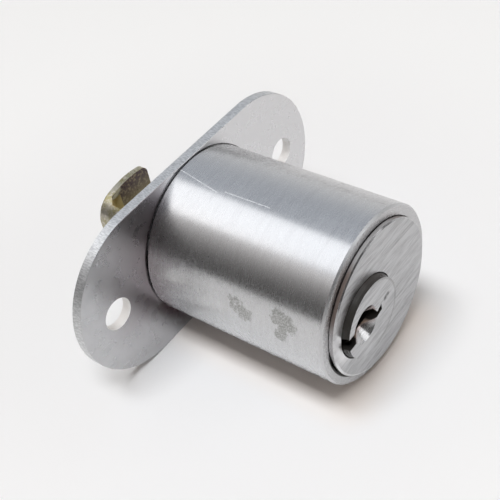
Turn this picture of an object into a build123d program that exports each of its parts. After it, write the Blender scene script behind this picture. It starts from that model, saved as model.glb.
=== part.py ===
"""Push-to-lock cabinet lock for sliding doors, in its locked state.

Millimetres. The origin is the middle of the flange's front face, on the barrel's axis.
The lock's front faces -Y, X runs along the flange and +Z is up.
A depth is a distance in front of the flange's front face, so it is negative behind it.
"""
import os
from math import cos, pi, radians, sin, sqrt

from build123d import *

# Clearances
slide_gap = 0.1
turn_gap = 0.08
pin_gap = 0.06
seat_gap = 0.05

# Mounting flange
flange_t = 1.7
flange_rim = 0.24
screw_spacing = 43.8
screw_end = 7.38
screw_hole_r = 2.72
flange_edge = 0.15
flange_seat_t = 0.5

# Barrel
barrel_r = 14.3
barrel_l = 32.7
barrel_wall = 1.7
rear_wall = 2.0
rim_chamfer = 0.3
foot_l = 0.3
foot_step = 0.25
spigot_step = 2.1
stake_t = 0.5
stake_lip = 0.8

# Plunger
plunger_proud = 0.9
plunger_bevel = 0.2
travel = 11.0
spring_room = 7.5

# Key plug
plug_r = 6.35
plug_wall = 1.84
plug_head_lip = 0.25
plug_head_t = 2.3
plug_proud = 1.1
plug_taper = 0.45
plug_back_t = 1.0
dish_x = -1.9
dish_z = 0.4
dish_r = 3.1
dish_depth = 1.7
dish_floor_r = 0.9
keyway_w = 2.2
keyway_z = 0.25
keyway_ward_w = 1.2
keyway_ward_x = 0.6
keyway_end_x = 2.4
key_turn = 90.0

# Pin stacks
pin_count = 5
pin_pitch = 3.3
first_pin = 4.6
pin_r = 1.2
pin_edge = 0.15
pin_point = 0.8
pin_sunk = 0.2
key_cuts = (0.9, -0.6, 0.3, -1.2, 0.0)
driver_l = 3.0
driver_lift = 0.1
cover_t = 1.3
cover_w = 3.6
cover_end = 1.0

# Retaining clip
clip_t = 0.45
clip_lip = 0.85
clip_groove_d = 0.75
clip_groove_w = 0.55
clip_mouth = 70.0

# Latch and its drive pin
pocket_depth = 2.4
pocket_room = 0.3
latch_t = 1.45
latch_side = 2.8
latch_tip_half = 2.5
latch_shoulder = 7.0
latch_reach = 0.7
latch_travel = 1.25
groove_gap = 0.2
drive_r = 1.0
drive_off = 1.6
drive_start = 30.0
latch_spring_r = 0.8
latch_spring_wire = 0.3
latch_spring_l = 3.2
latch_spring_turns = 4
latch_spring_room = 0.3

# Bolt
base_gap = 0.3
base_t = 2.0
bolt_shift = -0.3
bolt_half_w = 5.8
bolt_half_h = 8.0
bolt_crown_r = 16.0
bolt_crown_x = 1.6
bolt_left_round = 4.3
bolt_right_round = 1.3
bolt_stay = 1.2
bolt_edge = 0.3
lip_t = 1.3
lip_end_x = -1.1
lip_end_t = 0.6
notch_root_x = -2.1
notch_wall_x = -4.0
notch_wall_start = 1.0
notch_l = 5.0
facet_half_h = 6.6
neck_r = 3.4
bolt_screw_inset = 3.45
bolt_screw_angle = 43.0
bolt_screw_r = 1.25
bolt_screw_head_r = 2.3
bolt_screw_l = 8.0
driver_slot_w = 0.6
driver_slot_t = 0.7

# Stop pin
stop_inset = 5.7
stop_r = 1.2
stop_sunk = 0.15
stop_reach = 1.3
stop_slot_t = 1.6

# Springs
return_spring_room = 0.3
return_spring_wire = 1.0
return_spring_turns = 4
pin_spring_room = 0.26
pin_spring_wire = 0.3
pin_spring_turns = 6

# Radii and places across the barrel, worked out from the sizes above
flange_w = 2 * (barrel_r + flange_rim)
flange_l = screw_spacing + 2 * screw_end
bore_r = barrel_r - barrel_wall
spigot_r = barrel_r - spigot_step
plunger_r = bore_r - slide_gap
base_r = bore_r - base_gap
return_spring_r = bore_r - return_spring_room - return_spring_wire / 2
plug_head_r = plug_r + plug_head_lip
plug_hole_r = plug_head_r + 2 * turn_gap
plug_x = plug_hole_r + plug_wall - plunger_r
clip_r = plug_r + clip_lip
clip_groove_r = plug_r - clip_groove_d
pocket_r = clip_r + pocket_room
latch_left = plug_x - latch_side
latch_bottom = -pocket_r
bolt_x = plug_x + bolt_shift
key_pin_top = plug_r - pin_sunk
driver_bottom = plug_r + driver_lift
chamber_r = pin_r + pin_gap
pin_spring_r = chamber_r - pin_spring_room - pin_spring_wire / 2
cover_floor_x = plunger_r - cover_t

# Depths worked out from the sizes above
base_rear = rear_wall + spring_room
plunger_rear = base_rear + base_t
plunger_face = barrel_l + plunger_proud
plug_face = plunger_face + plug_proud
pocket_floor = plunger_rear + pocket_depth
latch_rear = plunger_rear + seat_gap
latch_front = latch_rear + latch_t
plug_rear = latch_front + seat_gap
head_seat = plug_face - plug_head_t
bolt_rear = -flange_t - bolt_stay - travel
stop_depth = barrel_l - stop_inset
pin_depths = [plunger_face - first_pin - pin_pitch * i for i in range(pin_count)]


def across(depth, x=0.0, z=0.0):
    """A plane across the barrel's axis at a depth, facing the front."""
    return Plane(origin=(x, -depth, z), x_dir=(1, 0, 0), z_dir=(0, -1, 0))


def sideways(x, depth, z=0.0):
    """A plane that faces +X, for the pin chambers."""
    return Plane(origin=(x, -depth, z), x_dir=(0, 1, 0), z_dir=(1, 0, 0))


def upward(z, depth, x=0.0):
    """A plane that faces +Z."""
    return Plane(origin=(x, -depth, z), x_dir=(1, 0, 0), z_dir=(0, 0, 1))


def biarc(start, end, start_way, end_way):
    """Adds two arcs that meet smoothly, from one point and direction to another."""
    chord = end - start
    sum_way = start_way + end_way
    # The control length d solves |chord - d * sum_way| = 2 d
    a = 4 - sum_way.dot(sum_way)
    b = 2 * chord.dot(sum_way)
    c = -chord.dot(chord)
    d = (-b + sqrt(b * b - 4 * a * c)) / (2 * a)
    first = start + start_way * d
    last = end - end_way * d
    middle = (first + last) * 0.5
    TangentArc(start, middle, tangent=start_way)
    TangentArc(middle, end, tangent=(last - first).normalized())


def coil(plane, radius, wire, turns, length):
    """A wound spring on a plane's axis, whose end wires lie within its length."""
    rise = (length - wire) / turns
    slope = rise / (2 * pi * radius)
    quarters = 4 * turns
    points = []
    ways = []
    for i in range(quarters + 1):
        angle = i * pi / 2
        point = Vector(radius * cos(angle), radius * sin(angle), wire / 2 + rise * i / 4)
        way = Vector(-sin(angle), cos(angle), slope).normalized()
        points.append(plane.from_local_coords(point))
        ways.append(plane.from_local_coords(way) - plane.origin)
    with BuildPart() as spring:
        with BuildLine() as turns_line:
            for i in range(quarters):
                biarc(points[i], points[i + 1], ways[i], ways[i + 1])
        path = turns_line.line
        with BuildSketch(Plane(origin=path @ 0, z_dir=path % 0)):
            Circle(wire / 2)
        sweep(path=path)
    return spring


def finish(part, name):
    """Labels a piece and writes it."""
    part.part.label = name
    export_step(part.part, f"parts/{name}.step")


def bolt_outline(sketch, grow=0.0):
    """Draws the bolt's section, crowned above and below and well rounded on the left."""
    Rectangle(2 * (bolt_half_w + grow), 2 * (bolt_half_h + grow))
    for side in (1, -1):
        with Locations((bolt_crown_x, side * (bolt_half_h - bolt_crown_r))):
            Circle(bolt_crown_r + grow, mode=Mode.INTERSECT)
    fillet(sketch.vertices().group_by(Axis.X)[0], bolt_left_round + grow)
    fillet(sketch.vertices().group_by(Axis.X)[-1], bolt_right_round + grow)


def pocket_outline():
    """The hollow in the plunger's back that holds the clip and guides the latch."""
    Circle(pocket_r)
    left = latch_left - seat_gap - plug_x
    right = latch_tip_half + seat_gap - plug_x
    bottom = latch_bottom - latch_travel - seat_gap
    with Locations(((left + right) / 2, (bottom + latch_shoulder + seat_gap) / 2)):
        Rectangle(right - left, latch_shoulder + seat_gap - bottom)
    with Locations((-plug_x, plunger_r)):
        Rectangle(2 * (latch_tip_half + seat_gap), 2 * plunger_r)
    with Locations((0, latch_bottom)):
        Rectangle(2 * latch_spring_r + latch_spring_wire + 2 * latch_spring_room, 2 * latch_spring_l)


os.makedirs("parts", exist_ok=True)

screw_ring_r = base_r - bolt_screw_inset
screw_rise = radians(bolt_screw_angle)
screw_spots = [(screw_ring_r * cos(screw_rise), side * screw_ring_r * sin(screw_rise)) for side in (1, -1)]

# Barrel: a tube with an undercut foot and a rear wall, bored for the bolt and staked behind the flange
with BuildPart() as barrel:
    with BuildSketch(across(foot_l)):
        Circle(barrel_r)
    extrude(amount=barrel_l - foot_l)
    chamfer(barrel.edges().group_by(Axis.Y)[0], rim_chamfer)
    with BuildSketch(across(-flange_seat_t)):
        Circle(barrel_r - foot_step)
    extrude(amount=flange_seat_t + foot_l)
    with BuildSketch(across(-flange_t)):
        Circle(spigot_r)
    extrude(amount=flange_t)
    with BuildSketch(across(-flange_t - stake_t)):
        Circle(spigot_r + stake_lip)
    extrude(amount=stake_t)
    with BuildSketch(across(rear_wall)):
        Circle(bore_r)
    extrude(amount=barrel_l, mode=Mode.SUBTRACT)
    with BuildSketch(across(-flange_t - stake_t, bolt_x)) as bolt_hole:
        bolt_outline(bolt_hole, turn_gap)
    extrude(amount=flange_t + stake_t + rear_wall, mode=Mode.SUBTRACT)
    # Groove that the latch's tip rides in over the plunger's travel
    with BuildSketch(across(latch_rear - groove_gap)):
        Circle(plunger_r + latch_reach + groove_gap)
        with Locations((0, barrel_r)):
            Rectangle(2 * (latch_tip_half + groove_gap), 2 * barrel_r, mode=Mode.INTERSECT)
    extrude(amount=latch_t + travel + 2 * groove_gap, mode=Mode.SUBTRACT)
    with BuildSketch(upward(-2 * barrel_r, stop_depth)):
        Circle(stop_r)
    extrude(amount=2 * barrel_r - plunger_r, mode=Mode.SUBTRACT)
finish(barrel, "barrel")

# Mounting flange: an oval plate round the barrel's spigot, with a shallow seat for the barrel's end
with BuildPart() as mounting_flange:
    with BuildSketch(across(-flange_t)):
        SlotOverall(flange_l, flange_w)
    extrude(amount=flange_t)
    fillet(mounting_flange.edges().group_by(Axis.Y)[0], flange_edge)
    with BuildSketch(across(-flange_t)):
        Circle(spigot_r + seat_gap)
        with GridLocations(screw_spacing, 1, 2, 1):
            Circle(screw_hole_r)
    extrude(amount=flange_t, mode=Mode.SUBTRACT)
    with BuildSketch(across(-flange_seat_t)):
        Circle(barrel_r + seat_gap)
    extrude(amount=flange_seat_t, mode=Mode.SUBTRACT)
finish(mounting_flange, "mounting_flange")

# Stop pin: pressed into the barrel's underside, its end in the plunger's slot
with BuildPart() as stop_pin:
    with BuildSketch(upward(-barrel_r + stop_sunk, stop_depth)):
        Circle(stop_r)
    extrude(amount=barrel_r - stop_sunk - bore_r + stop_reach)
finish(stop_pin, "stop_pin")

# Plunger: bored off centre for the plug, with pin chambers beside it and the latch pocket behind
with BuildPart() as plunger:
    with BuildSketch(across(plunger_rear)):
        Circle(plunger_r)
    extrude(amount=plunger_face - plunger_rear)
    chamfer(plunger.edges().group_by(Axis.Y)[0], plunger_bevel)
    with BuildSketch(across(plunger_rear, plug_x)):
        Circle(plug_r + turn_gap)
    extrude(amount=plunger_face - plunger_rear, mode=Mode.SUBTRACT)
    with BuildSketch(across(head_seat - seat_gap, plug_x)):
        Circle(plug_hole_r)
    extrude(amount=plug_head_t, mode=Mode.SUBTRACT)
    with BuildSketch(across(plunger_rear, plug_x)):
        pocket_outline()
    extrude(amount=pocket_depth, mode=Mode.SUBTRACT)
    for depth in pin_depths:
        with BuildSketch(sideways(plug_x + plug_r / 2, depth)):
            Circle(chamber_r)
        extrude(amount=2 * plunger_r, mode=Mode.SUBTRACT)
    # Seat of the strip that closes the chambers
    with BuildSketch(sideways(cover_floor_x, (pin_depths[0] + pin_depths[-1]) / 2)):
        Rectangle(pin_depths[0] - pin_depths[-1] + 2 * (chamber_r + cover_end), cover_w)
    extrude(amount=plunger_r, mode=Mode.SUBTRACT)
    # Slot for the stop pin
    with BuildSketch(upward(-plunger_r + stop_slot_t, stop_depth - travel / 2)):
        SlotOverall(travel + 2 * (stop_r + slide_gap), 2 * (stop_r + slide_gap), rotation=90)
    extrude(amount=-plunger_r, mode=Mode.SUBTRACT)
    with BuildSketch(across(plunger_rear)):
        with Locations(*screw_spots):
            Circle(bolt_screw_r)
    extrude(amount=bolt_screw_l - base_t + seat_gap, mode=Mode.SUBTRACT)
finish(plunger, "plunger")

# Notch round the neck in front of the bolt's lip, with a wall left standing on the left and a facet cut into the lip
with BuildPart() as notch:
    notch_rear = bolt_rear + lip_t
    facet_t = lip_t - lip_end_t
    notch_edge_x = notch_root_x + (notch_wall_x - notch_root_x) * facet_t / (facet_t + notch_wall_start)
    with BuildSketch(upward(-2 * bolt_half_h, notch_rear, bolt_x)):
        with BuildLine():
            Polyline((notch_edge_x, 0), (notch_wall_x, -notch_wall_start), (notch_wall_x, -notch_l),
                     (2 * bolt_half_w, -notch_l), (2 * bolt_half_w, 0), close=True)
        make_face()
    extrude(amount=4 * bolt_half_h)
    with BuildSketch(upward(-facet_half_h, notch_rear, bolt_x)):
        with BuildLine():
            Polyline((lip_end_x, 0), (notch_root_x, facet_t), (notch_edge_x, 0), close=True)
        make_face()
    extrude(amount=2 * facet_half_h)
    with BuildSketch(across(bolt_rear, bolt_x)):
        Circle(neck_r)
    extrude(amount=lip_t + notch_l, mode=Mode.SUBTRACT)

# Bolt: a crowned bar on a disc that closes the plunger's back
with BuildPart() as bolt:
    with BuildSketch(across(bolt_rear, bolt_x)) as bolt_section:
        bolt_outline(bolt_section)
    extrude(amount=base_rear - bolt_rear)
    fillet(bolt.edges().group_by(Axis.Y)[-1], bolt_edge)
    add(notch.part, mode=Mode.SUBTRACT)
    with BuildSketch(across(base_rear)):
        Circle(base_r)
    extrude(amount=base_t)
    with Locations(*[Plane(origin=(x, -base_rear, z), x_dir=(1, 0, 0), z_dir=(0, 1, 0)) for x, z in screw_spots]):
        CounterSinkHole(bolt_screw_r + seat_gap, bolt_screw_head_r, depth=base_t, counter_sink_angle=90)
finish(bolt, "bolt")

# Screws that hold the bolt to the plunger
with BuildPart() as bolt_screws:
    head_t = bolt_screw_head_r - bolt_screw_r - seat_gap
    with Locations(*[across(base_rear, x, z) for x, z in screw_spots]):
        Cone(bolt_screw_head_r - seat_gap, bolt_screw_r, head_t, align=(Align.CENTER, Align.CENTER, Align.MIN))
        Cylinder(bolt_screw_r, bolt_screw_l, align=(Align.CENTER, Align.CENTER, Align.MIN))
        Box(2 * bolt_screw_head_r, driver_slot_w, driver_slot_t,
            align=(Align.CENTER, Align.CENTER, Align.MIN), mode=Mode.SUBTRACT)
finish(bolt_screws, "bolt_screws")

# Key plug: headed, dished round the keyway, with pin holes and an off-centre drive pin behind
with BuildPart() as plug:
    clip_front = pocket_floor - seat_gap
    with BuildSketch(across(plug_rear, plug_x)):
        Circle(plug_r)
    extrude(amount=plug_face - plug_rear)
    with BuildSketch(across(head_seat, plug_x)):
        Circle(plug_head_r)
    extrude(amount=plunger_face - head_seat)
    with Locations(across(plunger_face, plug_x)):
        Cone(plug_head_r, plug_head_r - plug_taper, plug_proud, align=(Align.CENTER, Align.CENTER, Align.MIN))
    with BuildSketch(across(clip_front - clip_groove_w, plug_x)):
        Circle(2 * plug_r)
        Circle(clip_groove_r, mode=Mode.SUBTRACT)
    extrude(amount=clip_groove_w, mode=Mode.SUBTRACT)
    with Locations(across(plug_face - dish_depth, plug_x + dish_x, dish_z)):
        Cone(dish_floor_r, dish_r, dish_depth, align=(Align.CENTER, Align.CENTER, Align.MIN), mode=Mode.SUBTRACT)
    with BuildSketch(across(plug_rear + plug_back_t, plug_x, keyway_z)):
        with BuildLine():
            Polyline((-2 * plug_r, keyway_w / 2), (keyway_ward_x, keyway_w / 2),
                     (keyway_ward_x + keyway_ward_w / 2, 0), (keyway_end_x, keyway_ward_w / 2),
                     (keyway_end_x, -keyway_ward_w / 2), (keyway_ward_x, -keyway_w / 2),
                     (-2 * plug_r, -keyway_w / 2), close=True)
        make_face()
    extrude(amount=plug_face, mode=Mode.SUBTRACT)
    for depth in pin_depths:
        with BuildSketch(sideways(plug_x - plug_r / 4, depth)):
            Circle(chamber_r)
        extrude(amount=2 * plug_r, mode=Mode.SUBTRACT)
    with BuildSketch(across(latch_rear, plug_x)):
        with PolarLocations(drive_off, 1, drive_start):
            Circle(drive_r)
    extrude(amount=plug_rear - latch_rear)
finish(plug, "plug")

# Retaining clip: an open ring in the plug's groove
with BuildPart() as retaining_clip:
    with BuildSketch(across(clip_front - clip_t, plug_x)):
        Circle(clip_r)
        Circle(clip_groove_r + turn_gap, mode=Mode.SUBTRACT)
        with BuildLine():
            mouth_z = 2 * clip_r * sin(radians(clip_mouth / 2))
            mouth_x = -2 * clip_r * cos(radians(clip_mouth / 2))
            Polyline((0, 0), (mouth_x, mouth_z), (mouth_x, -mouth_z), close=True)
        make_face(mode=Mode.SUBTRACT)
    extrude(amount=clip_t)
finish(retaining_clip, "retaining_clip")

# Latch: a plate with a window that the plug's drive pin turns in
with BuildPart() as latch:
    drive_end = radians(drive_start - key_turn)
    window_left = plug_x + drive_off * cos(drive_end) - drive_r - slide_gap
    window_right = plug_x + drive_off + drive_r + slide_gap
    window_top = drive_off * sin(radians(drive_start)) + drive_r + slide_gap
    window_bottom = drive_off * sin(drive_end) - drive_r + latch_travel - slide_gap
    with BuildSketch(across(latch_rear)):
        with Locations(((latch_left + latch_tip_half) / 2, (latch_bottom + latch_shoulder) / 2)):
            Rectangle(latch_tip_half - latch_left, latch_shoulder - latch_bottom)
        with Locations((0, barrel_r / 2)):
            Rectangle(2 * latch_tip_half, barrel_r)
        Circle(plunger_r + latch_reach, mode=Mode.INTERSECT)
        with Locations(((window_left + window_right) / 2, (window_bottom + window_top) / 2)):
            Rectangle(window_right - window_left, window_top - window_bottom, mode=Mode.SUBTRACT)
    extrude(amount=latch_t)
finish(latch, "latch")

# Pin stacks, as they stand with the right key in
driver_foot = plug_x + driver_bottom
for number, (depth, cut) in enumerate(zip(pin_depths, key_cuts), start=1):
    with BuildPart() as key_pin:
        with BuildSketch(sideways(plug_x + cut + pin_point, depth)):
            Circle(pin_r)
        extrude(amount=key_pin_top - cut - pin_point)
        fillet(key_pin.edges().group_by(Axis.X)[-1], pin_edge)
        with Locations(sideways(plug_x + cut, depth)):
            Cone(pin_r - pin_point, pin_r, pin_point, align=(Align.CENTER, Align.CENTER, Align.MIN))
    finish(key_pin, f"key_pin_{number}")
    with BuildPart() as driver_pin:
        with BuildSketch(sideways(driver_foot, depth)):
            Circle(pin_r)
        extrude(amount=driver_l)
        fillet(driver_pin.edges().filter_by(GeomType.CIRCLE), pin_edge)
    finish(driver_pin, f"driver_pin_{number}")
    spring_seat = driver_foot + driver_l
    pin_spring = coil(sideways(spring_seat, depth), pin_spring_r, pin_spring_wire, pin_spring_turns,
                      cover_floor_x - spring_seat - seat_gap)
    finish(pin_spring, f"pin_spring_{number}")

# Chamber cover: a strip let into the plunger's side, flush with it
with BuildPart() as chamber_cover:
    cover_depth = (pin_depths[0] + pin_depths[-1]) / 2
    cover_l = pin_depths[0] - pin_depths[-1] + 2 * (chamber_r + cover_end)
    with BuildSketch(sideways(cover_floor_x, cover_depth)):
        Rectangle(cover_l - seat_gap, cover_w - seat_gap)
    extrude(amount=plunger_r)
    with BuildSketch(across(plunger_rear)):
        Circle(plunger_r - seat_gap)
    extrude(amount=plunger_face - plunger_rear, mode=Mode.INTERSECT)
finish(chamber_cover, "chamber_cover")

# Springs that push the plunger and the latch out
return_spring = coil(across(rear_wall), return_spring_r, return_spring_wire, return_spring_turns,
                     spring_room - seat_gap)
finish(return_spring, "return_spring")
latch_spring_seat = upward(latch_bottom - latch_spring_l, plunger_rear + pocket_depth / 2, plug_x)
latch_spring = coil(latch_spring_seat, latch_spring_r, latch_spring_wire, latch_spring_turns,
                    latch_spring_l - seat_gap)
finish(latch_spring, "latch_spring")
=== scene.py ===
"""Looks of a push-to-lock cabinet lock: finishes, wear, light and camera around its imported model."""
import math

import bpy
from mathutils import Matrix, Vector

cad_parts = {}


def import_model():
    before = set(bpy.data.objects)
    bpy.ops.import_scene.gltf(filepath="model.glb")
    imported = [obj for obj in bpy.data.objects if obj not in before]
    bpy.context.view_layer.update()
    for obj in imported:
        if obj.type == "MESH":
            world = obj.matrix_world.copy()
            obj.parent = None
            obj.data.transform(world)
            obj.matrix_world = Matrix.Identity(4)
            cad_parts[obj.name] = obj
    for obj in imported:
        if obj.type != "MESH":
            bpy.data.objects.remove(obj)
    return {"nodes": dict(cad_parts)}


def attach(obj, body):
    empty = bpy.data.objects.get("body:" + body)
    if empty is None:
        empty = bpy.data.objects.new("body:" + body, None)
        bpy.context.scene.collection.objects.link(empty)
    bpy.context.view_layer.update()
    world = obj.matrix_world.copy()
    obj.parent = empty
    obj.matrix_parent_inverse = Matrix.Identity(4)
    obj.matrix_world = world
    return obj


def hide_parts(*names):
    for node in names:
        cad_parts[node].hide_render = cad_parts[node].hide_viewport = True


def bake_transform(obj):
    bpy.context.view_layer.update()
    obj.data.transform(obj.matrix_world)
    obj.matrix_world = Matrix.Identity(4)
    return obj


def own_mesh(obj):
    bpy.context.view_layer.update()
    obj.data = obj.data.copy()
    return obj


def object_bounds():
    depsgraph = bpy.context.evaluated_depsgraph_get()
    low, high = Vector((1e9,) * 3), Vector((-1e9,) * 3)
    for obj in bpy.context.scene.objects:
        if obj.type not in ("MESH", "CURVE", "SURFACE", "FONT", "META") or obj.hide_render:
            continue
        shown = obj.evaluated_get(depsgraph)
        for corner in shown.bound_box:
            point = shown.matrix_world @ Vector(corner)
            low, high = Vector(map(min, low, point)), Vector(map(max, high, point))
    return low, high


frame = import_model()
cad_low, cad_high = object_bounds()
nodes = frame["nodes"]
MM = 0.001

# Places on the lock, in millimetres. The key side faces -Y, and z is up
BARREL_RADIUS = 14.3
RIM_Y = -32.7
RIM_INNER_RADIUS = 12.9
FACE_Y = -33.6
PLUG_X = -3.9
PLUG_FACE_Y = -34.7
PLUG_FACE_RADIUS = 5.9
HOLE_X = 21.9
HOLE_RADIUS = 2.72

# Wear on the barrel's side, each from one point to another: millimetres round it from the top, and y
SMUDGES = (((-18.7, -17.6), (-19.9, -19.2), 2.4, 0.8),
           ((-18.0, -25.4), (-18.4, -27.0), 2.5, 1.0),
           ((-19.2, -26.2), (-20.9, -25.7), 1.7, 1.0))
SCRATCHES = (((-2.18, 0.0), (-3.72, -8.54)),
             ((-3.18, -9.7), (-3.06, -17.9)),
             ((-3.65, -8.5), (-5.1, -8.1)))
SCRATCH_WIDTH = 0.12
PIT = ((8.95, -22.8), (9.05, -22.9))
PIT_WIDTH = 0.3

# Colours, as shares of light reflected
CHROME = (0.66, 0.665, 0.675, 1)
CHROME_GRAIN = (0.60, 0.60, 0.61, 1)
CHROME_RIM = (0.40, 0.395, 0.40, 1)
# Pale chrome for scratches, and for painted highlights
CHROME_SCRATCH_AND_HIGHLIGHT = (0.88, 0.89, 0.9, 1)
SMUDGE = (0.33, 0.335, 0.32, 1)
# Near black: a pit's colour, and painted shade in gaps
PIT_AND_GAP_SHADE = (0.015, 0.013, 0.013, 1)
FACE_CHROME = (0.58, 0.585, 0.595, 1)
FACE_GRAIN = (0.36, 0.36, 0.37, 1)
# Painted light on the plunger's face
FACE_PAINTED_LIGHT = (0.97, 0.97, 0.98, 1)
SIDE_CHROME = (0.58, 0.57, 0.575, 1)
SIDE_GREY = (0.33, 0.33, 0.34, 1)
# Painted reflection on the plunger's side
SIDE_PAINTED_BROWN = (0.15, 0.12, 0.11, 1)
# Painted shade on the plug's side
PLUG_SIDE_SHADE = (0.035, 0.033, 0.031, 1)
# Brown, made paler as painted light, inside the keyway's mouth
KEYWAY_BROWN_PAINTED_LIGHT = (0.55, 0.43, 0.37, 1)
# Painted reflection high in the plug's dish
DISH_PAINTED_BROWN = (0.30, 0.22, 0.20, 1)
# A dark line along the plug face's edge
EDGE_LINE_DARK = (0.10, 0.09, 0.085, 1)
MARK = (0.12, 0.12, 0.12, 1)
STEEL_DARK = (0.55, 0.55, 0.56, 1)
STEEL = (0.60, 0.60, 0.61, 1)
# Painted light on the flange's right
STEEL_PAINTED_LIGHT = (0.72, 0.72, 0.73, 1)
# Painted reflection and shade on the flange
STEEL_PAINTED_SHADE = (0.195, 0.135, 0.15, 1)
SHEARED_DARK = (0.55, 0.56, 0.57, 1)
SHEARED = (0.8, 0.81, 0.82, 1)
ZINC_OLIVE = (0.36, 0.33, 0.19, 1)
ZINC = (0.50, 0.475, 0.40, 1)
ZINC_SPECK = (0.64, 0.59, 0.52, 1)
NOTCH_OLIVE = (0.34, 0.29, 0.17, 1)
# Painted shade in the bolt's notch
NOTCH_SHADE = (0.16, 0.12, 0.125, 1)
NOTCH_SPECK = (0.44, 0.38, 0.25, 1)
LIP_END = (0.78, 0.76, 0.60, 1)
FACET_GOLD = (0.95, 0.80, 0.42, 1)
# Painted shade on the table near the lock, and the table beyond it
TABLE_NEAR_SHADE = (0.905, 0.925, 0.95, 1)
TABLE_UNSHADED = (0.955, 0.98, 1.0, 1)
# Painted shade: warm tint near the barrel
TABLE_WARM_SHADE = (0.90, 0.85, 0.815, 1)
TABLE_FOR_METAL = (0.835, 0.85, 0.87, 1)
WHITE = (1, 1, 1, 1)
BLACK = (0, 0, 0, 1)

# The room's light
ROOM_LOW = 0.74
ROOM_HIGH = (0.45, 0.48, 0.53, 1)
ROOM_SEEN = 0.9
FILL = (0.58, 0.48, 0.40, 1)
FILL_STRENGTH = 0.35
CARD_LIGHT = (1, 0.965, 0.95, 1)


def put(tree, kind, settings=None, **inputs):
    """Adds a shader node. An input is a socket to link or a value to set."""
    node = tree.nodes.new(kind)
    for name, value in (settings or {}).items():
        setattr(node, name, value)
    for name, value in inputs.items():
        feed(tree, node.inputs[name], value)
    return node


def feed(tree, socket, value):
    """Links a socket or sets its value."""
    if isinstance(value, bpy.types.NodeSocket):
        tree.links.new(value, socket)
    else:
        socket.default_value = value


def calc(tree, operation, first, second=0.0):
    """One sum on one or two numbers."""
    node = put(tree, "ShaderNodeMath", {"operation": operation})
    feed(tree, node.inputs[0], first)
    feed(tree, node.inputs[1], second)
    return node.outputs[0]


def plus(tree, first, *others):
    """The sum of several numbers."""
    for other in others:
        first = calc(tree, "ADD", first, other)
    return first


def times(tree, first, *others):
    """The product of several numbers."""
    for other in others:
        first = calc(tree, "MULTIPLY", first, other)
    return first


def most(tree, first, *others):
    """The largest of several numbers."""
    for other in others:
        first = calc(tree, "MAXIMUM", first, other)
    return first


def distance(tree, first, second):
    """How far apart two points are, from what they differ by in two directions."""
    return calc(tree, "SQRT", plus(tree, times(tree, first, first), times(tree, second, second)))


def spread(tree, value, low, high, to_low=0.0, to_high=1.0, smooth=True):
    """Maps a number from one range to another, held at both ends."""
    kind = "SMOOTHSTEP" if smooth else "LINEAR"
    node = put(tree, "ShaderNodeMapRange", {"interpolation_type": kind}, Value=value)
    for name, end in (("From Min", low), ("From Max", high), ("To Min", to_low), ("To Max", to_high)):
        feed(tree, node.inputs[name], end)
    return node.outputs[0]


def fade(tree, value, full, gone):
    """1 where a number is at one end of a range or past it, and 0 at the other."""
    return spread(tree, value, full, gone, 1.0, 0.0)


def blend(tree, share, first, second):
    """Mixes two colours."""
    node = put(tree, "ShaderNodeMix", {"data_type": "RGBA"})
    feed(tree, node.inputs[0], share)
    feed(tree, node.inputs[6], first)
    feed(tree, node.inputs[7], second)
    return node.outputs[2]


def place(tree):
    """The point on the piece in its own frame, in millimetres."""
    coordinate = put(tree, "ShaderNodeTexCoord")
    scaled = put(tree, "ShaderNodeVectorMath", {"operation": "SCALE"})
    feed(tree, scaled.inputs[0], coordinate.outputs["Object"])
    feed(tree, scaled.inputs["Scale"], 1 / MM)
    return scaled.outputs[0]


def axes(tree, point):
    """The three numbers of a point."""
    return put(tree, "ShaderNodeSeparateXYZ", Vector=point).outputs


def noise(tree, point, scale, detail=2.0, rough=0.5):
    """Noise whose mean is about a half."""
    texture = put(tree, "ShaderNodeTexNoise", Vector=point, Scale=scale, Detail=detail, Roughness=rough)
    return texture.outputs["Fac"]


def streaks(tree, point, size, detail=2.0, rough=0.5):
    """Noise this many millimetres wide along each axis."""
    scaled = put(tree, "ShaderNodeMapping", {"vector_type": "TEXTURE"}, Vector=point, Scale=size)
    return noise(tree, scaled.outputs[0], 1.0, detail, rough)


def normal_y(tree):
    """The surface's direction along Y, in the piece's own frame."""
    return axes(tree, put(tree, "ShaderNodeTexCoord").outputs["Normal"])[1]


def facing(tree):
    """How squarely the surface faces along Y, from 0 to 1."""
    return calc(tree, "ABSOLUTE", normal_y(tree))


def from_axis(tree, point, axis_x=0.0):
    """How far the point is from a line along Y, in millimetres."""
    x, _, z = axes(tree, point)
    return distance(tree, calc(tree, "SUBTRACT", x, axis_x), z)


def near_line(tree, across, along, start, end, width):
    """1 on a short line in a plane of two numbers, and 0 beyond its width."""
    run = (end[0] - start[0], end[1] - start[1])
    length = run[0] ** 2 + run[1] ** 2
    da = calc(tree, "SUBTRACT", across, start[0])
    db = calc(tree, "SUBTRACT", along, start[1])
    share = plus(tree, times(tree, da, run[0] / length), times(tree, db, run[1] / length))
    share = calc(tree, "MINIMUM", calc(tree, "MAXIMUM", share, 0.0), 1.0)
    da = calc(tree, "SUBTRACT", da, times(tree, share, run[0]))
    db = calc(tree, "SUBTRACT", db, times(tree, share, run[1]))
    return fade(tree, distance(tree, da, db), 0.2 * width, width)


def metal(name, colour, roughness, anisotropic=0.0):
    """A new metal and its node tree and shader."""
    material = bpy.data.materials.new(name)
    material.use_nodes = True
    tree = material.node_tree
    shader = tree.nodes["Principled BSDF"]
    shader.inputs["Base Color"].default_value = (*colour, 1)
    shader.inputs["Metallic"].default_value = 1.0
    shader.inputs["Roughness"].default_value = roughness
    shader.inputs["Anisotropic"].default_value = anisotropic
    return material, tree, shader


def bump(tree, shader, height, depth):
    """Gives the shader a bump whose height of 1 is this many millimetres."""
    node = put(tree, "ShaderNodeBump", Height=height, Distance=depth * MM, Strength=1.0)
    feed(tree, shader.inputs["Normal"], node.outputs[0])


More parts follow.
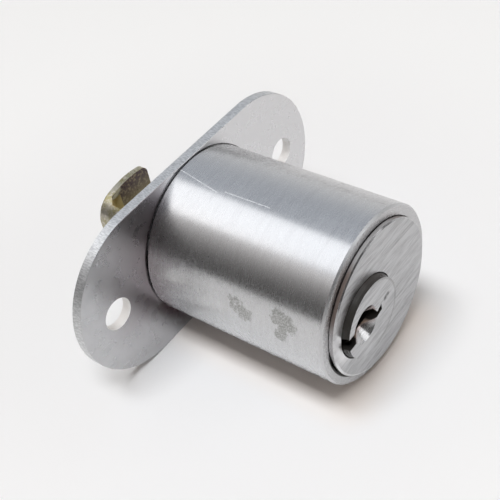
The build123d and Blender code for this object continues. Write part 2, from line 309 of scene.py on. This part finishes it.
def brush_across(tree, shader, direction):
    """Stretches highlights along a direction in the piece's own frame."""
    turned = put(tree, "ShaderNodeVectorTransform",
                 {"vector_type": "VECTOR", "convert_from": "OBJECT", "convert_to": "WORLD"}, Vector=direction)
    feed(tree, shader.inputs["Tangent"], turned.outputs[0])


def wear(node_name, material):
    """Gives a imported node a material."""
    mesh = nodes[node_name].data
    mesh.materials.clear()
    mesh.materials.append(material)


def barrel_smudges(tree, point, arc, y):
    """Two ragged smudges low on the barrel's side."""
    spots = [times(tree, near_line(tree, arc, y, start, end, width), share)
             for start, end, width, share in SMUDGES]
    ragged = times(tree, calc(tree, "SUBTRACT", noise(tree, point, 1.2, 4.0, 0.8), 0.5), 2.4)
    spots = spread(tree, plus(tree, most(tree, *spots), ragged), 0.4, 0.75)
    return times(tree, spots, spread(tree, noise(tree, point, 4.5), 0.35, 0.6, 0.25, 0.9))


def barrel_pit_and_gap_shade(tree, point, arc, radius):
    """A pit, painted shade in the open seam at the foot, and painted shade on the rim's inner edge that widens the
    gap round the plunger low on the left.
    """
    x, y, z = axes(tree, point)
    pit = near_line(tree, arc, y, *PIT, PIT_WIDTH)
    is_open = most(tree, spread(tree, arc, 1.6, 3.2), spread(tree, arc, -15.0, -18.0))
    # Painted shade where the seam at the foot stands open
    seam = times(tree, spread(tree, y, -0.3, -0.2), fade(tree, y, 0.1, 0.4), is_open)
    # Painted shade on the rim's inner edge, low on the left
    gap_shade_on_rim = times(tree, fade(tree, radius, RIM_INNER_RADIUS - 0.08, RIM_INNER_RADIUS + 0.08),
                   spread(tree, y, RIM_Y + 2.7, RIM_Y + 0.7), spread(tree, x, -5.0, -8.5), spread(tree, z, 1.0, -2.5))
    return most(tree, pit, seam, gap_shade_on_rim)


def brushed_barrel():
    """Chrome brushed round the barrel, with a few scratches, smudges and a pit."""
    material, tree, shader = metal("barrel_brushed", CHROME[:3], roughness=0.27, anisotropic=0.72)
    point = place(tree)
    x, y, z = axes(tree, point)
    radius = from_axis(tree, point)
    arc = times(tree, calc(tree, "ARCTAN2", x, z), BARREL_RADIUS)
    face = facing(tree)
    # The lines run round the axis, on the side and on the rim
    around = put(tree, "ShaderNodeCombineXYZ", X=x, Y=plus(tree, y, radius), Z=z).outputs[0]
    fine = streaks(tree, around, (1.6, 0.13, 1.6), 3.0, 0.6)
    broad = streaks(tree, around, (5.0, 0.9, 5.0))
    grain = plus(tree, times(tree, fine, 0.6), times(tree, broad, 0.4))
    mottle = noise(tree, point, 0.9, 4.0, 0.6)
    smudges = barrel_smudges(tree, point, arc, y)
    scratches = most(tree, *(near_line(tree, arc, y, *ends, SCRATCH_WIDTH) for ends in SCRATCHES))
    colour = blend(tree, spread(tree, grain, 0.3, 0.6), CHROME_GRAIN, CHROME)
    colour = blend(tree, smudges, colour, SMUDGE)
    colour = blend(tree, times(tree, spread(tree, face, 0.8, 0.95), 0.35), colour, CHROME_RIM)
    colour = blend(tree, times(tree, scratches, 0.6), colour, CHROME_SCRATCH_AND_HIGHLIGHT)
    # A pit, and painted shade in the seam and round the plunger
    colour = blend(tree, barrel_pit_and_gap_shade(tree, point, arc, radius), colour, PIT_AND_GAP_SHADE)
    feed(tree, shader.inputs["Base Color"], colour)
    # The broken edge between side and rim is worn smooth
    edge = times(tree, spread(tree, face, 0.1, 0.4), fade(tree, face, 0.85, 0.97))
    relief = plus(tree, grain, times(tree, mottle, 0.5))
    bump(tree, shader, times(tree, relief, spread(tree, edge, 0.0, 1.0, 1.0, 0.1)), 0.0019)
    rough = plus(tree, spread(tree, grain, 0.3, 0.7, 0.2, 0.25, smooth=False), times(tree, mottle, 0.09),
                 times(tree, smudges, 0.12), times(tree, edge, 0.15), times(tree, scratches, 0.3))
    feed(tree, shader.inputs["Roughness"], rough)
    # Highlights run along Y on the side and outwards on the rim
    lines = put(tree, "ShaderNodeCombineXYZ", X=times(tree, x, face), Y=calc(tree, "SUBTRACT", 1.0, face),
                Z=times(tree, z, face))
    brush_across(tree, shader, lines.outputs[0])
    return material


def hairline(name, side):
    """Chrome with straight hairlines across its face, polished where it slopes, and its side coloured by the given
    function.
    """
    middle = 0.31
    material, tree, shader = metal(name, CHROME[:3], roughness=middle, anisotropic=0.35)
    point = place(tree)
    fine = streaks(tree, point, (3.5, 3.0, 0.17), 4.0, 0.7)
    broad = streaks(tree, point, (9.0, 3.0, 0.9))
    grain = plus(tree, times(tree, fine, 0.75), times(tree, broad, 0.25))
    face = facing(tree)
    beside = fade(tree, face, 0.5, 0.6)
    flat = spread(tree, face, 0.9, 0.97)
    rough = spread(tree, grain, 0.3, 0.7, middle - 0.06, middle + 0.08, smooth=False)
    feed(tree, shader.inputs["Roughness"], times(tree, rough, spread(tree, flat, 0.0, 1.0, 0.7, 1.0)))
    bump(tree, shader, times(tree, grain, flat), 0.006)
    brush_across(tree, shader, (0, 0, 1))
    colour = blend(tree, spread(tree, grain, 0.38, 0.58), FACE_GRAIN, FACE_CHROME)
    colour = blend(tree, beside, colour, side(tree, point))
    return material, tree, shader, point, beside, colour


def past_rim(tree, y):
    """1 on the plunger's end that shows past the barrel's rim, and 0 behind it."""
    return fade(tree, y, RIM_Y + 0.1, RIM_Y + 0.4)


def painted_side_share(tree, point):
    """How much painted reflection the plunger's side takes: high up, on the end that shows past the rim."""
    _, y, z = axes(tree, point)
    return times(tree, spread(tree, z, 2.5, 5.5), past_rim(tree, y))


def plunger_side(tree, point):
    """Painted reflection on the plunger's side: brown, and grey at its top."""
    painted_side = blend(tree, spread(tree, axes(tree, point)[2], 10.5, 12.0), SIDE_PAINTED_BROWN, SIDE_GREY)
    return blend(tree, painted_side_share(tree, point), SIDE_CHROME, painted_side)


def plunger_hairline():
    """The plunger's chrome, with painted shade in the gap round it and a painted highlight on its edge low on the
    left.
    """
    material, tree, shader, point, beside, colour = hairline("plunger_hairline", plunger_side)
    x, y, z = axes(tree, point)
    # Painted light on the face beside the plug, to offset the plug's dark reflection in it
    from_plug = from_axis(tree, point, PLUG_X)
    painted_light_by_plug = times(tree, spread(tree, from_plug, PLUG_FACE_RADIUS + 1.0, PLUG_FACE_RADIUS + 3.5, 0.75, 0.0),
                  spread(tree, x, PLUG_X - 2.0, PLUG_X - 5.0), spread(tree, z, -5.5, -2.5))
    colour = blend(tree, painted_light_by_plug, colour, FACE_PAINTED_LIGHT)
    # Painted highlight on the plunger's edge low on the left
    painted_highlight = times(tree, spread(tree, from_axis(tree, point), 12.1, 12.25), spread(tree, z, -1.0, -4.0),
                   spread(tree, x, -3.0, -6.0), 0.8)
    colour = blend(tree, painted_highlight, colour, CHROME_SCRATCH_AND_HIGHLIGHT)
    # Painted shade in the gap between the plunger and the rim
    gap_shade_end = calc(tree, "MINIMUM", spread(tree, z, 4.0, 8.0, RIM_Y - 0.1, RIM_Y - 0.2),
                   spread(tree, z, 1.0, -4.0, RIM_Y - 0.08, RIM_Y - 0.5))
    gap = spread(tree, calc(tree, "SUBTRACT", y, gap_shade_end), 0.0, 0.08)
    gap = times(tree, beside, gap, past_rim(tree, y))
    feed(tree, shader.inputs["Base Color"], blend(tree, gap, colour, PIT_AND_GAP_SHADE))
    # Where the side is painted brown it is duller too
    dull = times(tree, beside, painted_side_share(tree, point), 0.9)
    feed(tree, shader.inputs["Metallic"], calc(tree, "SUBTRACT", 1.0, dull))
    return material


def plug_side(tree, point):
    """Painted shade on the plug's side, and inside the keyway's mouth a paler brown as painted light."""
    x, y, _ = axes(tree, point)
    # Inside the keyway's mouth: brown, made paler as painted light
    inside = times(tree, spread(tree, x, PLUG_X - 4.0, PLUG_X - 3.5), fade(tree, x, PLUG_X - 0.5, PLUG_X + 0.3),
                   fade(tree, y, FACE_Y + 0.3, FACE_Y + 0.5),
                   fade(tree, from_axis(tree, point, PLUG_X), PLUG_FACE_RADIUS - 0.3, PLUG_FACE_RADIUS))
    return blend(tree, inside, PLUG_SIDE_SHADE, KEYWAY_BROWN_PAINTED_LIGHT)


def plug_hairline():
    """The plug's chrome, with a painted brown reflection high in its dish and a painted highlight low in it, a worn
    mark, a faint dark line on its face's right, and painted shade deep on its side.
    """
    material, tree, shader, point, beside, colour = hairline("plug_hairline", plug_side)
    x, y, z = axes(tree, point)
    from_middle = from_axis(tree, point, PLUG_X)
    line = times(tree, spread(tree, from_middle, PLUG_FACE_RADIUS + 0.02, PLUG_FACE_RADIUS + 0.2),
                 spread(tree, x, PLUG_X - 2.0, PLUG_X + 1.0), 0.3)
    colour = blend(tree, line, colour, EDGE_LINE_DARK)
    dish = spread(tree, y, PLUG_FACE_Y + 0.08, PLUG_FACE_Y + 0.2)
    # Painted reflection: brown high in the dish
    brown = times(tree, dish, spread(tree, z, -1.6, -0.6), spread(tree, beside, 0.0, 1.0, 0.75, 0.0))
    colour = blend(tree, brown, colour, DISH_PAINTED_BROWN)
    mark = times(tree, near_line(tree, x, z, (0.3, 1.2), (-0.5, 1.0), 0.6),
                 spread(tree, noise(tree, point, 1.5, 3.0), 0.35, 0.55, 0.3, 1.0))
    colour = blend(tree, mark, colour, MARK)
    # Painted highlight low in the dish
    painted_highlight = times(tree, dish, spread(tree, z, -1.0, -1.6), spread(tree, beside, 0.0, 1.0, 0.15, 0.0))
    colour = blend(tree, painted_highlight, colour, CHROME_SCRATCH_AND_HIGHLIGHT)
    # Painted shade deep on the plug's side, inside the barrel
    deep = times(tree, beside, spread(tree, y, FACE_Y + 0.4, FACE_Y + 0.6))
    feed(tree, shader.inputs["Base Color"], blend(tree, deep, colour, PIT_AND_GAP_SHADE))
    # The painted side is dull
    feed(tree, shader.inputs["Metallic"], fade(tree, beside, 0.0, 1.0))
    shader.inputs["Specular IOR Level"].default_value = 0.2
    return material


def flange_painted_shade(tree, point, radius):
    """Painted reflection of the dark barrel on one side of the flange's front, and painted shade low in the corner.
    """
    x, y, z = axes(tree, point)
    painted_reflection = times(tree, spread(tree, radius, BARREL_RADIUS + 0.2, BARREL_RADIUS + 11.7, 0.68, 0.0, smooth=False),
                  spread(tree, x, -4.0, -9.0), spread(tree, z, -9.0, -3.0, 0.35, 1.0))
    # Painted shade low in the corner by the barrel
    corner = times(tree, spread(tree, radius, BARREL_RADIUS + 0.1, BARREL_RADIUS + 3.2, 0.95, 0.0),
                   spread(tree, z, -3.0, -7.0))
    return times(tree, most(tree, painted_reflection, corner), fade(tree, y, 0.3, 0.8))


def flange_steel():
    """Rolled steel with a faint cloudiness and a rougher, brighter sheared edge."""
    material, tree, shader = metal("flange_rolled", (0.62, 0.62, 0.63), roughness=0.38)
    point = place(tree)
    x, y, _ = axes(tree, point)
    radius = from_axis(tree, point)
    cloud = noise(tree, point, 0.4, 3.0)
    grit = streaks(tree, point, (0.16, 0.8, 0.16), 3.0, 0.6)
    edge = fade(tree, facing(tree), 0.4, 0.7)
    colour = blend(tree, spread(tree, cloud, 0.3, 0.7), STEEL_DARK, STEEL)
    # Painted light: the flange is paler towards its right
    colour = blend(tree, spread(tree, x, -18.0, 1.0), colour, STEEL_PAINTED_LIGHT)
    # Painted reflection and shade near the barrel
    colour = blend(tree, flange_painted_shade(tree, point, radius), colour, STEEL_PAINTED_SHADE)
    # Painted shade in the joint round the barrel, on the right
    joint_shade = times(tree, fade(tree, radius, BARREL_RADIUS + 0.08, BARREL_RADIUS + 0.18),
                  spread(tree, x, 2.5, 4.5), fade(tree, y, 0.2, 0.6))
    colour = blend(tree, joint_shade, colour, PIT_AND_GAP_SHADE)
    from_hole = calc(tree, "MINIMUM", from_axis(tree, point, HOLE_X), from_axis(tree, point, -HOLE_X))
    # Painted light on the walls of the two holes
    hole_painted_light = times(tree, fade(tree, from_hole, HOLE_RADIUS + 0.08, HOLE_RADIUS + 0.28), edge)
    sheared = blend(tree, spread(tree, grit, 0.35, 0.65), SHEARED_DARK, SHEARED)
    sheared = blend(tree, hole_painted_light, sheared, WHITE)
    feed(tree, shader.inputs["Base Color"], blend(tree, edge, colour, sheared))
    # The walls of the holes are painted white and dull, as painted light
    feed(tree, shader.inputs["Metallic"], calc(tree, "SUBTRACT", 1.0, hole_painted_light))
    rough = spread(tree, cloud, 0.3, 0.7, 0.25, 0.32, smooth=False)
    feed(tree, shader.inputs["Roughness"], plus(tree, rough, times(tree, edge, 0.17)))
    bump(tree, shader, times(tree, grit, spread(tree, edge, 0.0, 1.0, 0.03, 1.0)), 0.015)
    return material


def zinc():
    """Yellow chromate over zinc, golden on the lip's facet, with mottled painted shade in the notch."""
    material, tree, shader = metal("bolt_zinc", (0.5, 0.48, 0.34), roughness=0.32)
    point = place(tree)
    x, _, z = axes(tree, point)
    cloud = noise(tree, point, 0.45, 4.0, 0.6)
    grit = noise(tree, point, 2.2, 3.0)
    front = times(tree, normal_y(tree), -1.0)
    colour = blend(tree, spread(tree, cloud, 0.38, 0.62), ZINC_OLIVE, ZINC)
    colour = blend(tree, spread(tree, grit, 0.5, 0.7), colour, ZINC_SPECK)
    colour = blend(tree, spread(tree, front, 0.6, 0.75), colour, FACET_GOLD)
    # Painted shade in the notch, darkest high up
    notch = blend(tree, spread(tree, z, 3.0, 7.0), NOTCH_OLIVE, NOTCH_SHADE)
    notch = blend(tree, spread(tree, grit, 0.48, 0.66), notch, NOTCH_SPECK)
    # The lip's left end is rounded, and catches the light
    notch = blend(tree, near_line(tree, x, z, (-6.9, 6.7), (-5.3, 7.6), 0.75), notch, LIP_END)
    feed(tree, shader.inputs["Base Color"], blend(tree, spread(tree, front, 0.86, 0.95), colour, notch))
    # Chromate is duller where nothing rubs it
    feed(tree, shader.inputs["Metallic"], spread(tree, front, 0.5, 0.75, 0.9, 0.35))
    feed(tree, shader.inputs["Roughness"], spread(tree, grit, 0.3, 0.7, 0.27, 0.4, smooth=False))
    bump(tree, shader, plus(tree, grit, cloud), 0.02)
    return material


def plain(name, dark, pale, roughness):
    """A metal with slightly uneven colour."""
    material, tree, shader = metal(name, pale, roughness)
    cloud = noise(tree, place(tree), 1.5, 3.0)
    feed(tree, shader.inputs["Base Color"], blend(tree, spread(tree, cloud, 0.35, 0.65), (*dark, 1), (*pale, 1)))
    return material


def finish_all():
    """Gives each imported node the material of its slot, and the plug its own."""
    by_slot = {"barrel_chrome": brushed_barrel(), "face_chrome": plunger_hairline(),
               "flange_steel": flange_steel(), "zinc_gold": zinc(),
               "steel": plain("steel_bright", (0.5, 0.5, 0.51), (0.6, 0.6, 0.61), roughness=0.3),
               "brass": plain("brass_turned", (0.66, 0.48, 0.22), (0.76, 0.6, 0.31), roughness=0.26)}
    for name, node in nodes.items():
        wear(name, by_slot[node.data.materials[0].name.split(".")[0]])
    wear("plug", plug_hairline())


def soft_copy(name, node_name):
    """A copy of a steel node, shown in its place."""
    solid = nodes[node_name]
    copy = bpy.data.objects.new(name, solid.data.copy())
    copy.matrix_world = solid.matrix_world.copy()
    bpy.context.collection.objects.link(copy)
    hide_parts(node_name)
    return copy


def coils():
    """Copies of the latch's spring, carried by the plunger, and of the return spring, shown in place of the imported
    ones.
    """
    latch_coil = soft_copy("latch_coil", "latch_spring")
    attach(latch_coil, "plunger")
    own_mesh(latch_coil)
    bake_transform(soft_copy("return_coil", "return_spring"))


def from_barrel(tree):
    """How far a point of the table is from the rectangle under the barrel, in millimetres."""
    half_width, half_length, middle_y = 9.0, 15.0, -17.0
    x, y, _ = axes(tree, place(tree))
    gaps = []
    for value, half in ((x, half_width), (calc(tree, "SUBTRACT", y, middle_y), half_length)):
        gap = calc(tree, "SUBTRACT", calc(tree, "ABSOLUTE", value), half)
        gaps.append(calc(tree, "MAXIMUM", gap, 0.0))
    return distance(tree, *gaps)


def floor():
    """A pale table under the lock."""
    bpy.ops.mesh.primitive_circle_add(vertices=96, radius=3.0, fill_type="NGON", location=(0, 0, cad_low.z))
    table = bpy.context.object
    table.name = "table"
    material = bpy.data.materials.new("table_white")
    material.use_nodes = True
    tree = material.node_tree
    shader = tree.nodes["Principled BSDF"]
    away = put(tree, "ShaderNodeVectorMath", {"operation": "LENGTH"})
    feed(tree, away.inputs[0], put(tree, "ShaderNodeTexCoord").outputs["Object"])
    away = away.outputs["Value"]
    # Painted shade: the table is a little darker close to the lock
    colour = blend(tree, spread(tree, away, 0.03, 0.09), TABLE_NEAR_SHADE, TABLE_UNSHADED)
    # Painted shade: close to the barrel the table takes a warm tint, for the shadow's colour
    colour = blend(tree, fade(tree, from_barrel(tree), 0.0, 8.0), colour, TABLE_WARM_SHADE)
    # The camera sees the table a little paler than metal does
    seen = put(tree, "ShaderNodeLightPath").outputs["Is Camera Ray"]
    colour = blend(tree, seen, TABLE_FOR_METAL, colour)
    # Far from the lamps it runs into the room
    far = times(tree, seen, spread(tree, away, 0.25, 0.7))
    feed(tree, shader.inputs["Specular IOR Level"], spread(tree, far, 0.0, 1.0, 0.5, 0.0, smooth=False))
    feed(tree, shader.inputs["Base Color"], blend(tree, far, colour, BLACK))
    shader.inputs["Emission Color"].default_value = (ROOM_SEEN, ROOM_SEEN, ROOM_SEEN, 1)
    feed(tree, shader.inputs["Emission Strength"], far)
    shader.inputs["Roughness"].default_value = 0.6
    table.data.materials.append(material)


def lamp(name, width, length, away, radiance, aim):
    """A soft lamp turned to the lock, its width along X as far as it can be."""
    light = bpy.data.lights.new(name, "AREA")
    light.shape = "RECTANGLE"
    light.size = width
    light.size_y = length
    light.energy = radiance * width * length * math.pi
    panel = bpy.data.objects.new(name, light)
    aim = Vector(aim).normalized()
    across = Vector((1, 0, 0))
    across = (across - aim * across.dot(aim)).normalized()
    along = aim.cross(across)
    panel.matrix_world = Matrix.Translation(aim * away) @ Matrix((across, along, aim)).transposed().to_4x4()
    bpy.context.collection.objects.link(panel)
    return panel


def world():
    """The room: a little warm light, and what the camera and metal see of it."""
    room = bpy.data.worlds.new("room")
    bpy.context.scene.world = room
    room.use_nodes = True
    tree = room.node_tree
    height = spread(tree, axes(tree, put(tree, "ShaderNodeTexCoord").outputs["Generated"])[2], 0.0, 0.8)
    colour = blend(tree, height, (ROOM_LOW, ROOM_LOW, ROOM_LOW, 1), ROOM_HIGH)
    # Seen by the camera or in metal, the room is paler than the light that it gives
    path = put(tree, "ShaderNodeLightPath")
    colour = blend(tree, path.outputs["Is Camera Ray"], colour, (ROOM_SEEN, ROOM_SEEN, ROOM_SEEN, 1))
    seen = most(tree, path.outputs["Is Camera Ray"], path.outputs["Is Glossy Ray"])
    feed(tree, tree.nodes["Background"].inputs["Color"], blend(tree, seen, FILL, colour))
    feed(tree, tree.nodes["Background"].inputs["Strength"], spread(tree, seen, 0.0, 1.0, FILL_STRENGTH, 1.0))


def lamps():
    """A window behind the lock, a soft ceiling and lamps in front and above."""
    lamp("window", width=0.48, length=0.8, away=0.75, radiance=0.98,
         aim=(-0.194, 0.541, 0.818)).visible_diffuse = False
    lamp("ceiling", width=0.9, length=0.7, away=0.9, radiance=1.3,
         aim=(0.1, -0.35, 0.93)).visible_diffuse = False
    lamp("front", width=0.34, length=0.2, away=0.6, radiance=1.7, aim=(0.52, -0.8, 0.24))
    # The key lamp casts the shadow, and metal would show it as too hard a streak
    lamp("key", width=0.4, length=1.2, away=1.6, radiance=14.3,
         aim=(-0.21, -0.05, 0.92)).visible_glossy = False


def curved_sheet(name, radius, turns, rises):
    """A sheet bent round the lock, from one turn to another and from foot to top."""
    sides = 48
    start, end = turns
    vertices, faces = [], []
    for i in range(sides + 1):
        turn = start + (end - start) * i / sides
        x, y = radius * math.sin(turn), -radius * math.cos(turn)
        vertices += [(x, y, cad_low.z + radius * rise) for rise in rises]
    for i in range(sides):
        faces.append((2 * i, 2 * i + 1, 2 * i + 3, 2 * i + 2))
    mesh = bpy.data.meshes.new(name)
    mesh.from_pydata(vertices, [], faces)
    panel = bpy.data.objects.new(name, mesh)
    bpy.context.collection.objects.link(panel)
    return panel


def card(name, radius, turns, rises, shades, power):
    """A curved card that only reflections see, shaded from its foot to its top, and lost in the room at its start."""
    turns = [math.radians(turn) for turn in turns]
    panel = curved_sheet(name, radius, turns, rises)
    material = bpy.data.materials.new(name + "_shade")
    material.use_nodes = True
    tree = material.node_tree
    tree.nodes.remove(tree.nodes["Principled BSDF"])
    x, y, z = axes(tree, put(tree, "ShaderNodeTexCoord").outputs["Object"])
    rise = spread(tree, calc(tree, "DIVIDE", z, radius), *rises, smooth=False)
    strength = spread(tree, calc(tree, "POWER", rise, power), 0.0, 1.0, *shades, smooth=False)
    start_x = radius * math.sin(turns[0])
    begun = times(tree, spread(tree, x, start_x - 0.3 * radius, start_x), spread(tree, y, 0.0, 0.5 * radius))
    lost = times(tree, begun, calc(tree, "SUBTRACT", ROOM_LOW, strength))
    glow = put(tree, "ShaderNodeEmission", Color=CARD_LIGHT, Strength=plus(tree, strength, lost))
    feed(tree, tree.nodes["Material Output"].inputs["Surface"], glow.outputs[0])
    panel.data.materials.append(material)
    panel.visible_camera = False
    panel.visible_diffuse = False
    panel.visible_shadow = False


def camera():
    """The photo's viewpoint, fitted to the lock's outlines."""
    spot = Vector((-77.85, -87.57, 102.13)) * MM
    right = Vector((0.5905, -0.7917, -0.1568)).normalized()
    up = Vector((0.6219, 0.3225, 0.7137))
    up = (up - right * up.dot(right)).normalized()
    lens = bpy.data.cameras.new("camera")
    lens.sensor_width = 36.0
    lens.lens = 67.28
    lens.clip_start = 0.01
    eye = bpy.data.objects.new("camera", lens)
    turn = Matrix((right, up, right.cross(up))).transposed().to_4x4()
    eye.matrix_world = Matrix.Translation(spot) @ turn
    bpy.context.collection.objects.link(eye)
    bpy.context.scene.camera = eye


finish_all()
coils()
floor()
world()
lamps()
card("wall", radius=0.64, turns=(-190, -98), rises=(0.0, 1.2), shades=(0.09, 1.3), power=2.1)
card("dark", radius=0.66, turns=(-98, 62), rises=(0.0, 1.0), shades=(0.1, 0.16), power=1.5)
camera()
bpy.context.scene.view_settings.view_transform = "Standard"
